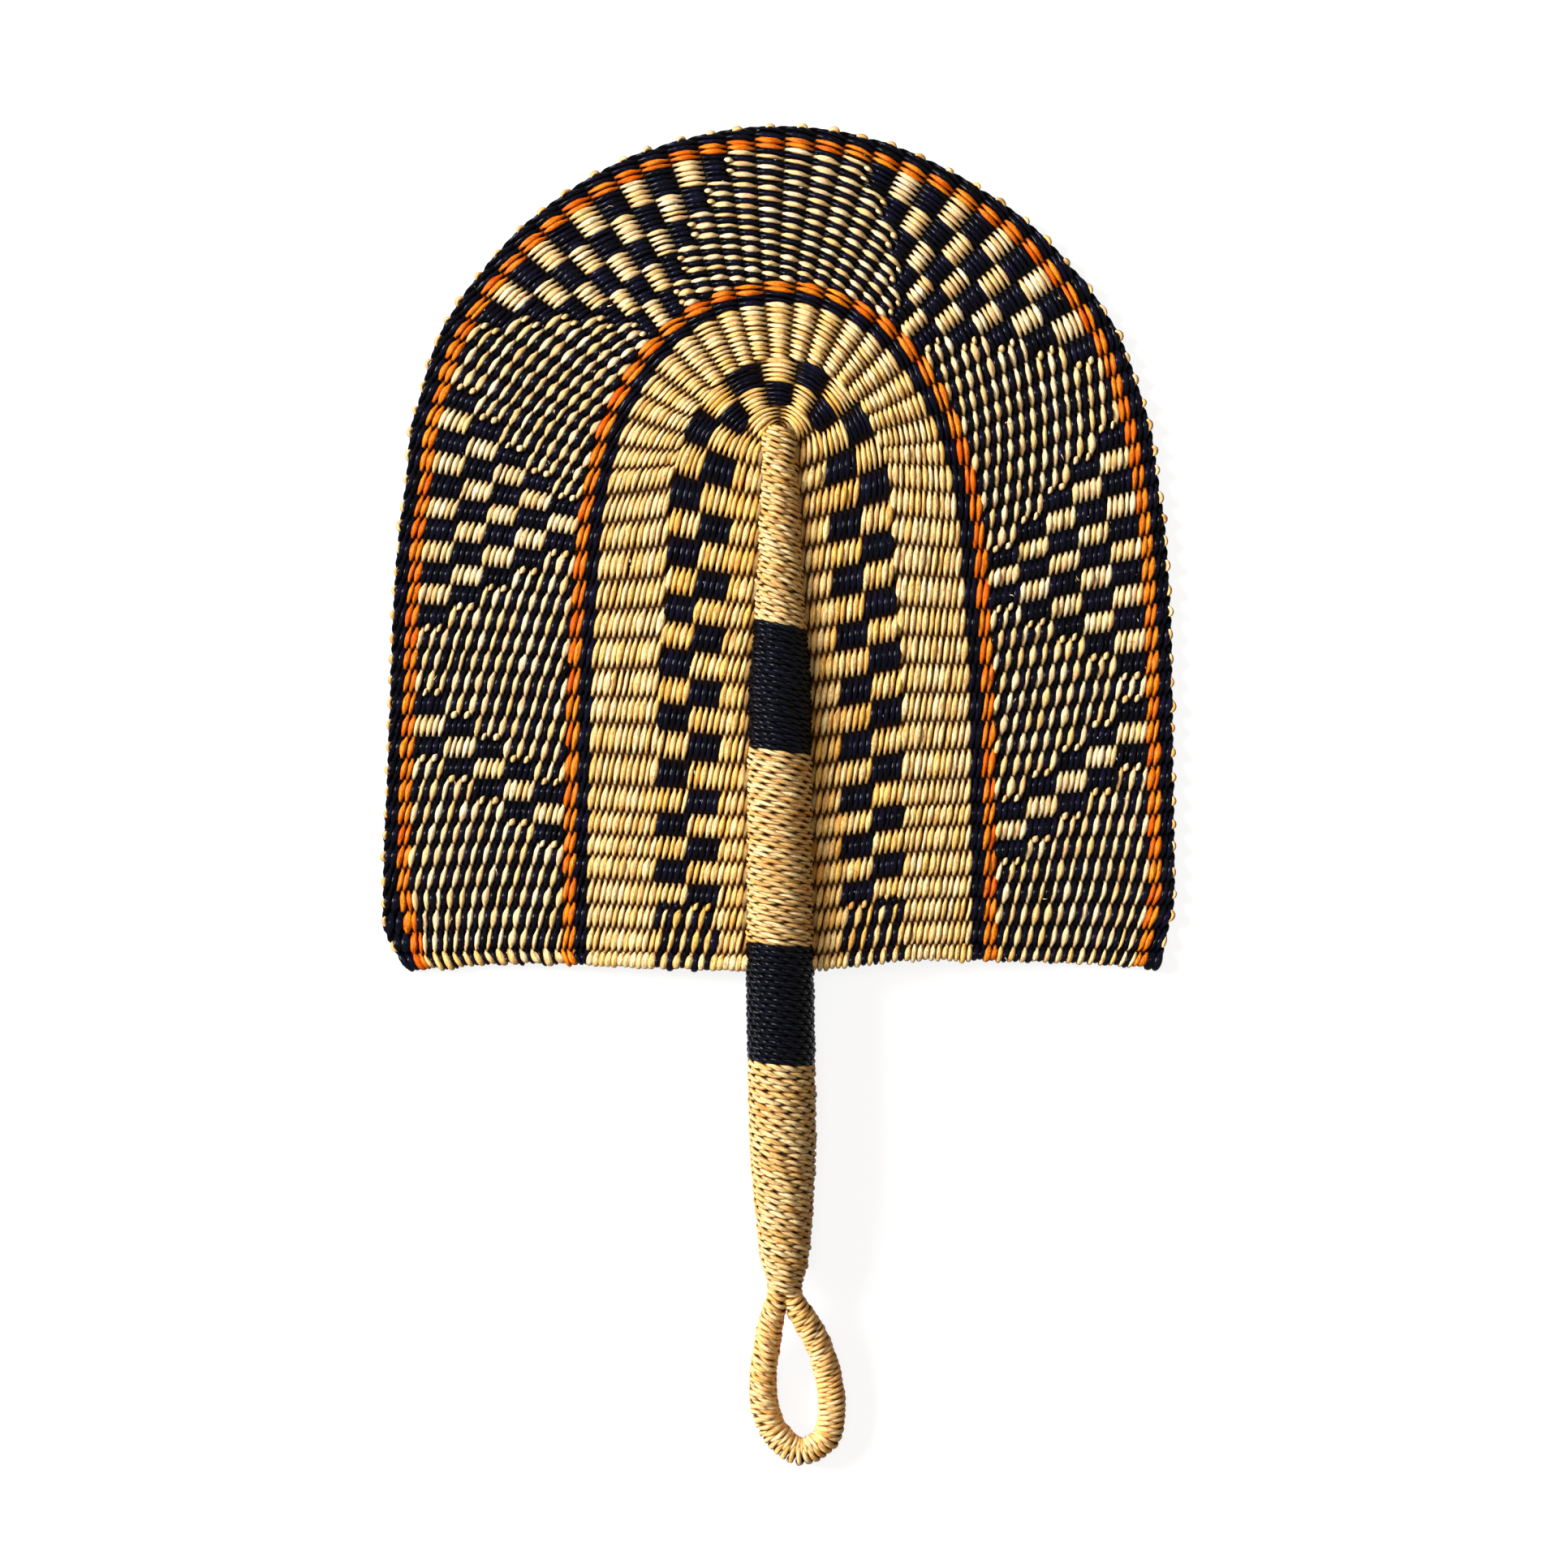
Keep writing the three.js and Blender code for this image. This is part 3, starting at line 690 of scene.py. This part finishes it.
def makeLooseFibres():
    # frayed ends of straw that stand out of the band: length * t from a start, in a direction that
    # turns by bend * t, raised by rise * sin(riseTurn * t) and thinner by taper * t
    rng = np.random.default_rng(stray["seed"])
    shell = newShell()
    t = np.linspace(0, 1, stray["rings"])
    for fibre in range(stray["count"]):
        row = rng.uniform(*stray["rows"])
        place = rng.choice(stakePlaces("band", row)[1]) + rng.normal(0, stray["slide"])
        start = rowPlace(row, np.interp(place, rowRuler(row), rulerSteps))
        turn, length = rng.uniform(0, 2 * np.pi), rng.uniform(*stray["length"])
        turn = turn + rng.normal(0, stray["bend"]) * t
        lift = weaveLift(row) + stray["lift"] + rng.uniform(*stray["rise"]) * np.sin(t * stray["riseTurn"])
        reach = length * t
        path = np.column_stack([start[0] + reach * np.cos(turn), start[1] + reach * np.sin(turn), lift])
        radius = rng.uniform(*stray["radius"]) * (1 - stray["taper"] * t)
        across = np.column_stack([-np.sin(turn), np.cos(turn), np.zeros(len(t))])
        sweepTube(shell, path, across, radius, radius, reach + rng.uniform(*layRange),
                  rng.uniform(0, 1), 1, sides=stray["sides"])
    makePiece("loose_fibres", shell, "band straw", ["pattern_band"])


makeLooseFibres()
makeStakes("near_stakes", "near", ["inner_panel_near"])
makeStakes("far_stakes", "far", ["inner_panel_far"])
makeStakes("band_stakes", "band", ["pattern_band", "rim_navy_rows"])
makeStakeEnds()
print("stakes made")

# the closing stitches along the hem, each one a slanted ring round the rows' ends
hem = {
    "middle": 2.9, "halfHeight": 2.2, "halfDepth": 1.9, "rings": 16, "halfThick": 0.75, "spread": 0.16,
    "widthSpread": 0.1, "dryDepth": 1.08, "waveHeight": 3, "layRadius": 3, "seed": 70,
    # what is left of a stitch's width, thickness and shade at its two ends
    "endWidth": 0.28, "endThick": 0.4, "endShade": 0.3, "plumpPower": 0.9, "plumpDrop": 0.14,
    # how far the top stands to the left of the bottom, and the widths as shares of a row
    "left": {"slant": 1.1, "straw": 0.72, "navy": 0.5, "orange": 0.6},
    "right": {"slant": -0.75, "straw": 0.56, "navy": 0.56, "orange": 0.62},
    "innerSlant": -0.4,
    # the colours of the even and the odd rows in each zone, where they aren't straw
    "colours": {"squares": ("navy", "straw"), "innerNavy": ("navy", "navy"), "innerOrange": ("orange", "orange"),
                "band": ("straw", "navy"), "outerOrange": ("orange", "orange"), "rimNavy": ("navy", "navy")},
}


def rowColour(row):
    zone = next(name for name, (low, high) in zoneRows.items() if low <= row < high)
    return hem["colours"].get(zone, ("straw", "straw"))[row % 2]


def makeHem(side, label):
    # a stitch is a closed ring: its height is middle + half height * cos turn, its place the row's
    # reach there less slant * cos turn, and its lift the weave's and half depth * sin turn
    rng = np.random.default_rng(hem["seed"] + side)
    shells = {"straw": newShell(), "navy": newShell(), "orange": newShell()}
    turn = np.arange(hem["rings"]) / hem["rings"] * 2 * np.pi
    body = np.abs(np.sin(turn))
    across = np.tile([1.0, 0.0, 0.0], (len(turn), 1))
    # pointed at both ends and fullest a little below the middle
    plump = mix(hem["endWidth"], 1, body ** hem["plumpPower"])
    plump = plump * (1 - hem["plumpDrop"] * np.cos(turn))
    halfThick = hem["halfThick"] * mix(hem["endThick"], 1, body)
    look = hem[label]
    for row in range(blade["rows"]):
        shadeName, middle, inner = rowColour(row), row + 0.5, row < zoneRows["far"][1]
        tall = hem["halfHeight"] * (1 + rng.normal(0, hem["spread"]))
        height = hem["middle"] + tall * np.cos(turn)
        reach = [unevenReach(sideReach(middle + step, height), middle + step, height, side)
                 for step in (-0.5, 0, 0.5)]
        slant = (hem["innerSlant"] if inner else look["slant"]) * (1 + rng.normal(0, hem["spread"]))
        x = side * reach[1] - slant * np.cos(turn)
        wave = easedTable(x, uneven["hemPlaces"], uneven["hemRises"])
        wave = wave * np.exp(-hem["waveHeight"] / uneven["hemFade"])
        depth = hem["halfDepth"] * (1 if shadeName == "navy" else hem["dryDepth"])
        lift = np.maximum(weaveLift(middle) + depth * np.sin(turn), hem["halfThick"])
        width = np.mean(reach[2] - reach[0]) * look["straw" if inner else shadeName]
        width = width * (1 + rng.normal(0, hem["widthSpread"]))
        sweepTube(shells[shadeName], np.column_stack([x, height + wave, lift]), across, width * plump, halfThick,
                  turn * hem["layRadius"] + rng.uniform(*layRange), rng.uniform(0, 1),
                  mix(hem["endShade"], 1, body), closed=True)
    for shadeName, finishName in (("straw", "panel straw"), ("navy", "navy straw"), ("orange", "orange straw")):
        makePiece(f"hem_{label}_{shadeName}", shells[shadeName], finishName, [f"hem_{label}"])


makeHem(-1, "left")
makeHem(1, "right")
print("hem made")


# the handle: a cord of two plies wound on its core, in five lengths, and a binding at the wrist
coilForm = {
    "heights": [-106, -103, -99, -95, -89, -75, -55, -2, 94, 116, 162, 168, 174],
    "radii": [5.3, 5.4, 6.2, 7.5, 8.6, 9.7, 11.0, 11.2, 10.4, 8.3, 6.2, 6.1, 5.7],
    # how much lower the cord lies on the right, and in front
    "tilts": [0.2, 0.2, 0.3, 0.4, 0.5, 0.6, 0.5, 0.5, 1.2, 1.6, 1.1, 0.7, 0.1],
    "sags": [0, 0, 0.1, 0.3, 0.4, 0.6, 0.8, 0.1, 0, 0, 0, 0, 0],
    "steps": 64, "levelWander": (2.5, 0.09), "radiusWander": (3, 0.1),
    "tipTurns": 0.9, "tipLeast": 0.3, "tipPower": 0.4,    # the turn that closes over the spine's tip
}
lean = {"from": -2, "to": -97, "sideways": 1.6}    # the grip leans a little to the right


def leanAt(height):
    # an even slope from nought to the full lean
    return lean["sideways"] * np.clip((lean["from"] - height) / (lean["from"] - lean["to"]), 0, 1)


coils = {
    "tip_cord": {
        "top": 173.2, "foot": 109.9, "turns": 34, "lay": 10.4, "finish": "natural cord",
        "replaces": ["tip_winding"], "seed": 31},
    "upper_navy_cord": {
        "top": 109.9, "foot": 69.7, "turns": 22, "lay": 8.6, "finish": "navy cord",
        "replaces": ["upper_navy_winding"], "seed": 32},
    "middle_cord": {
        "top": 69.7, "foot": 8.2, "turns": 34, "lay": 13.0, "finish": "natural cord",
        "replaces": ["middle_winding"], "seed": 33},
    "lower_navy_cord": {
        "top": 8.2, "foot": -29.4, "turns": 20, "lay": 8.2, "finish": "navy cord",
        "replaces": ["lower_navy_winding"], "seed": 34},
    "grip_cord": {
        "top": -29.4, "foot": -97.0, "turns": 32, "lay": 10.0, "finish": "natural cord",
        "replaces": ["grip_winding"], "seed": 35},
    "wrist_cord": {
        "top": -97.0, "foot": -102.8, "turns": 3, "lay": 12.0, "finish": "natural cord",
        "replaces": ["wrist_binding"], "seed": 36},
}
ply = {"offset": 0.5, "swing": 0.54, "tipWidth": 0.6, "width": 0.86, "thick": 0.64, "depth": 1.14, "sides": 8,
       "facing": 1, "step": 0.8, "usualPitch": 2.0, "wander": (30, 0.25), "tones": (0.18, 0.82), "bulge": 0.08,
       "shade": 0.6, "shadeSwing": 0.7}


def smoothNoise(rng, places, pitch, amount):
    # random amounts a pitch apart, joined by eased steps
    count = int(np.ptp(places) / pitch) + 3
    return easedTable(places - places.min(), np.arange(count) * pitch, rng.normal(0, amount, count))


def resample(rows, length, even):
    # the rows read again at even lengths
    return np.column_stack([np.interp(even, length, rows[:, axis]) for axis in range(3)])


def twistPlies(shell, centre, outward, axial, length, lay, rng, size):
    # each ply circles the cord's middle line: outward * offset * cos p - axial * swing * sin p, where
    # p = 2 pi * length / lay, and half a turn more on the second ply
    for half in (0, 1):
        phase = 2 * np.pi * length / lay + half * np.pi + smoothNoise(rng, length, *ply["wander"])
        path = (centre + outward * (size["offset"] * np.cos(phase))[:, None]
                - axial * (size["swing"] * np.sin(phase))[:, None])
        lens = np.floor(phase / (2 * np.pi) + 0.5).astype(int)
        lens -= lens.min()
        tone = rng.uniform(*ply["tones"], lens.max() + 1)[lens]
        bulge = 1 + rng.normal(0, ply["bulge"], lens.max() + 1)[lens] * (1 + np.cos(phase)) / 2
        width = mix(size["tipWidth"], size["width"], np.abs(np.cos(phase))) * bulge
        shade = np.clip(ply["shade"] + ply["shadeSwing"] * np.cos(phase), 0, 1) * size["facing"]
        sweepTube(shell, path, axial, width, size["thick"] * bulge, length + rng.uniform(*layRange), tone, shade,
                  sides=size["sides"])


def makeCoil(name):
    # a helix of radius * (sin a, cos a) round the core, that falls by one pitch in each turn and lies
    # lower by tilt * sin a + sag * cos a
    options = coils[name]
    rng = np.random.default_rng(options["seed"])
    pitch = (options["top"] - options["foot"]) / options["turns"]
    angle = np.linspace(0, options["turns"] * 2 * np.pi, options["turns"] * coilForm["steps"]) - np.pi
    turns = (angle + np.pi) / (2 * np.pi)
    level = options["top"] - turns * pitch + smoothNoise(rng, angle, *coilForm["levelWander"])
    heights = coilForm["heights"]
    level = (level - np.interp(level, heights, coilForm["tilts"]) * np.sin(angle)
             - np.interp(level, heights, coilForm["sags"]) * np.cos(angle))
    radius = np.interp(level, heights, coilForm["radii"]) - ply["depth"]
    radius = radius + smoothNoise(rng, angle, *coilForm["radiusWander"])
    if name == "tip_cord":
        radius = radius * np.clip(turns / coilForm["tipTurns"], coilForm["tipLeast"], 1) ** coilForm["tipPower"]
    outward = np.column_stack([np.sin(angle), np.zeros(len(angle)), np.cos(angle)])
    centre = outward * radius[:, None] + np.column_stack([leanAt(level), level, np.full(len(angle), axisLift)])
    # rings an even step of cord apart
    length = lengthAlong(centre)
    even = np.arange(0, length[-1], ply["step"])
    evenAngle = np.interp(even, length, angle)
    outward = np.column_stack([np.sin(evenAngle), np.zeros(len(even)), np.cos(evenAngle)])
    axial = np.tile([0.0, 1.0, 0.0], (len(even), 1))
    size = {**ply, **{key: ply[key] * (pitch / ply["usualPitch"]) for key in ("swing", "width", "tipWidth")}}
    shell = newShell()
    twistPlies(shell, resample(centre, length, even), outward, axial, even, options["lay"], rng, size)
    makePiece(name, shell, options["finish"], options["replaces"])


for coilName in coils:
    makeCoil(coilName)
print("handle wound")


# the hanging loop: the same cord wound round it, slanting on its left leg
loop = {
    "points": [(-2.1, 7.3), (-2.4, 0), (-4.0, -7), (-5.7, -15.8), (-7.0, -28), (-6.7, -34.3), (-3.2, -44.5),
               (5.4, -50.8), (12.9, -46.5), (15.0, -36), (13.6, -25), (9.6, -13.5), (4.8, -5), (2.6, 0),
               (2.1, 7.3)],
    "root": -104.5, "lowest": 4.6, "samples": 2000,
    "radius": 3.28, "radiusWander": (4, 0.1), "pitch": 1.9, "steps": 30, "start": 4.4, "lay": 12.0,
    "rootShare": 0.66, "rootLength": 12, "rootPower": 0.7,
    # its fullness and its cord's slant, from the left root to the right one
    "fullness": ([0, 0.18, 0.36, 0.5, 0.64, 0.8, 1], [1, 1.08, 1.2, 1.16, 1.16, 1.08, 1.1]),
    "slants": ([0, 0.3, 0.5, 0.7, 1], [0.6, 0.75, 0.05, 0.12, 0.2]),
    "ply": {"offset": 0.34, "swing": 0.46, "tipWidth": 0.6, "width": 0.95, "thick": 0.62, "sides": 8,
            "facing": -1},
    "seed": 41,
}


def loopLine(samples):
    # a smooth curve through the points: cubic pieces with the chords' slopes at each point
    points = np.array(loop["points"], float)
    share = np.maximum(0, points[:, 1] / points[:, 1].min())
    lift = mix(axisLift, loop["lowest"], share * (2 - share))
    points = np.column_stack([points[:, 0] + lean["sideways"], points[:, 1] + loop["root"], lift])
    chord = lengthAlong(points)
    slope = np.gradient(points, chord, axis=0)
    at = np.linspace(0, chord[-1], samples)
    after = np.clip(np.searchsorted(chord, at), 1, len(chord) - 1)
    span = (chord[after] - chord[after - 1])[:, None]
    t = (at - chord[after - 1])[:, None] / span
    return (points[after - 1] * (1 + 2 * t) * (1 - t) ** 2 + slope[after - 1] * span * t * (1 - t) ** 2
            + points[after] * t**2 * (3 - 2 * t) + slope[after] * span * t**2 * (t - 1))


def makeLoop():
    # a helix round the loop's line: (across * cos a + up * sin a) * radius, and slant * radius * cos a
    # along the line
    rng = np.random.default_rng(loop["seed"])
    line = loopLine(loop["samples"])
    along = lengthAlong(line)
    turns = (along[-1] - 2 * loop["start"]) / loop["pitch"]
    angle = np.linspace(0, turns * 2 * np.pi, int(turns * loop["steps"]))
    place = loop["start"] + angle / (2 * np.pi) * loop["pitch"]
    share = place / along[-1]
    centre = resample(line, along, place)
    tangent = unit(np.gradient(centre, axis=0))
    across = unit(leftOf(tangent))
    up = np.cross(tangent, across)
    fromRoot = np.minimum(place, along[-1] - place) - loop["start"]
    rootFade = np.clip(fromRoot / loop["rootLength"], 0, 1) ** loop["rootPower"]
    radius = loop["radius"] * mix(loop["rootShare"], 1, rootFade)
    radius = radius * easedTable(share, *loop["fullness"]) + smoothNoise(rng, angle, *loop["radiusWander"])
    slant = easedTable(share, *loop["slants"])
    outward = across * np.cos(angle)[:, None] + up * np.sin(angle)[:, None]
    centre = centre + outward * radius[:, None] + tangent * (slant * radius * np.cos(angle))[:, None]
    length = lengthAlong(centre)
    even = np.arange(0, length[-1], ply["step"])
    outward = unit(resample(outward, length, even))
    axial = unit(resample(-tangent, length, even))
    shell = newShell()
    twistPlies(shell, resample(centre, length, even), outward, axial, even, loop["lay"], rng, loop["ply"])
    makePiece("loop_cord", shell, "golden cord", ["loop_winding"])


makeLoop()
print("loop wound")


# table, light and camera
room = {
    "floorHalf": 12, "floorPaint": (120, 120, 120), "floorGlow": 0.88,
    "fill": 0.17, "fillColour": (1.0, 0.73, 0.42, 1.0),
    "keyPower": 760.0, "keyFrom": (-4.7, 1.6, 2.6), "keySize": 2.2,
    "topPower": 72.0, "topFrom": (-0.8, 1.4, 5.4), "topSize": 1.5,
    "aim": (0.0013, 0.0029, 0.005), "distance": 1.1, "frameWidth": 0.5035, "sensor": 36, "clip": (0.05, 30),
}


def seenDirectly(tree):
    # 1 for what the camera sees, also in a gloss or through glass
    rays = addNode(tree, "ShaderNodeLightPath").outputs
    seen = mathNode(tree, "MAXIMUM", rays["Is Camera Ray"], rays["Is Glossy Ray"])
    return mathNode(tree, "MAXIMUM", seen, rays["Is Transmission Ray"])


def makeFloor():
    half = room["floorHalf"]
    mesh = bpy.data.meshes.new("table")
    corners = [(-half, -half, 0), (half, -half, 0), (half, half, 0), (-half, half, 0)]
    mesh.from_pydata(corners, [], [(0, 1, 2, 3)])
    material, tree = newMaterial("white table")
    tree.nodes.clear()
    glow = mathNode(tree, "MULTIPLY", seenDirectly(tree), room["floorGlow"])
    paint = addNode(tree, "ShaderNodeBsdfDiffuse", {"Color": colour(*room["floorPaint"])})
    light = addNode(tree, "ShaderNodeEmission", {"Color": (1, 1, 1, 1), "Strength": glow})
    both = addNode(tree, "ShaderNodeAddShader", {0: paint.outputs[0], 1: light.outputs[0]})
    addNode(tree, "ShaderNodeOutputMaterial", {"Surface": both.outputs[0]})
    mesh.materials.append(material)
    floor = bpy.data.objects.new("table", mesh)
    scene.collection.objects.link(floor)


def makeWorld():
    # white at full strength where it is seen, and a weak warm fill for all other light
    world = bpy.data.worlds.new("white room")
    scene.world = world
    world.use_nodes = True
    tree = world.node_tree
    tree.nodes.clear()
    seen = seenDirectly(tree)
    light = mixColour(tree, seen, room["fillColour"], (1, 1, 1, 1))
    strength = rangeNode(tree, seen, 0.0, 1.0, room["fill"], 1.0)
    background = addNode(tree, "ShaderNodeBackground", {"Color": light, "Strength": strength})
    addNode(tree, "ShaderNodeOutputWorld", {"Surface": background.outputs[0]})


def addLamp(name, place, power, size):
    lamp = bpy.data.lights.new(name, "AREA")
    lamp.energy = power
    lamp.size = size
    lampObject = bpy.data.objects.new(name, lamp)
    lampObject.location = place
    lampObject.rotation_mode = "QUATERNION"
    lampObject.rotation_quaternion = (Vector((0, 0, 0)) - Vector(place)).to_track_quat("-Z", "Y")
    scene.collection.objects.link(lampObject)


def addCamera():
    # straight above: the lens is sensor * distance / the width that it frames
    camera = bpy.data.cameras.new("camera")
    camera.sensor_width = room["sensor"]
    camera.lens = room["sensor"] * room["distance"] / room["frameWidth"]
    camera.clip_start, camera.clip_end = room["clip"]
    cameraObject = bpy.data.objects.new("camera", camera)
    aim = Vector(room["aim"])
    cameraObject.location = aim + Vector((0, 0, room["distance"]))
    scene.collection.objects.link(cameraObject)
    scene.camera = cameraObject


makeFloor()
makeWorld()
addLamp("window", room["keyFrom"], room["keyPower"], room["keySize"])
addLamp("top", room["topFrom"], room["topPower"], room["topSize"])
addCamera()
scene.view_settings.view_transform = "Standard"
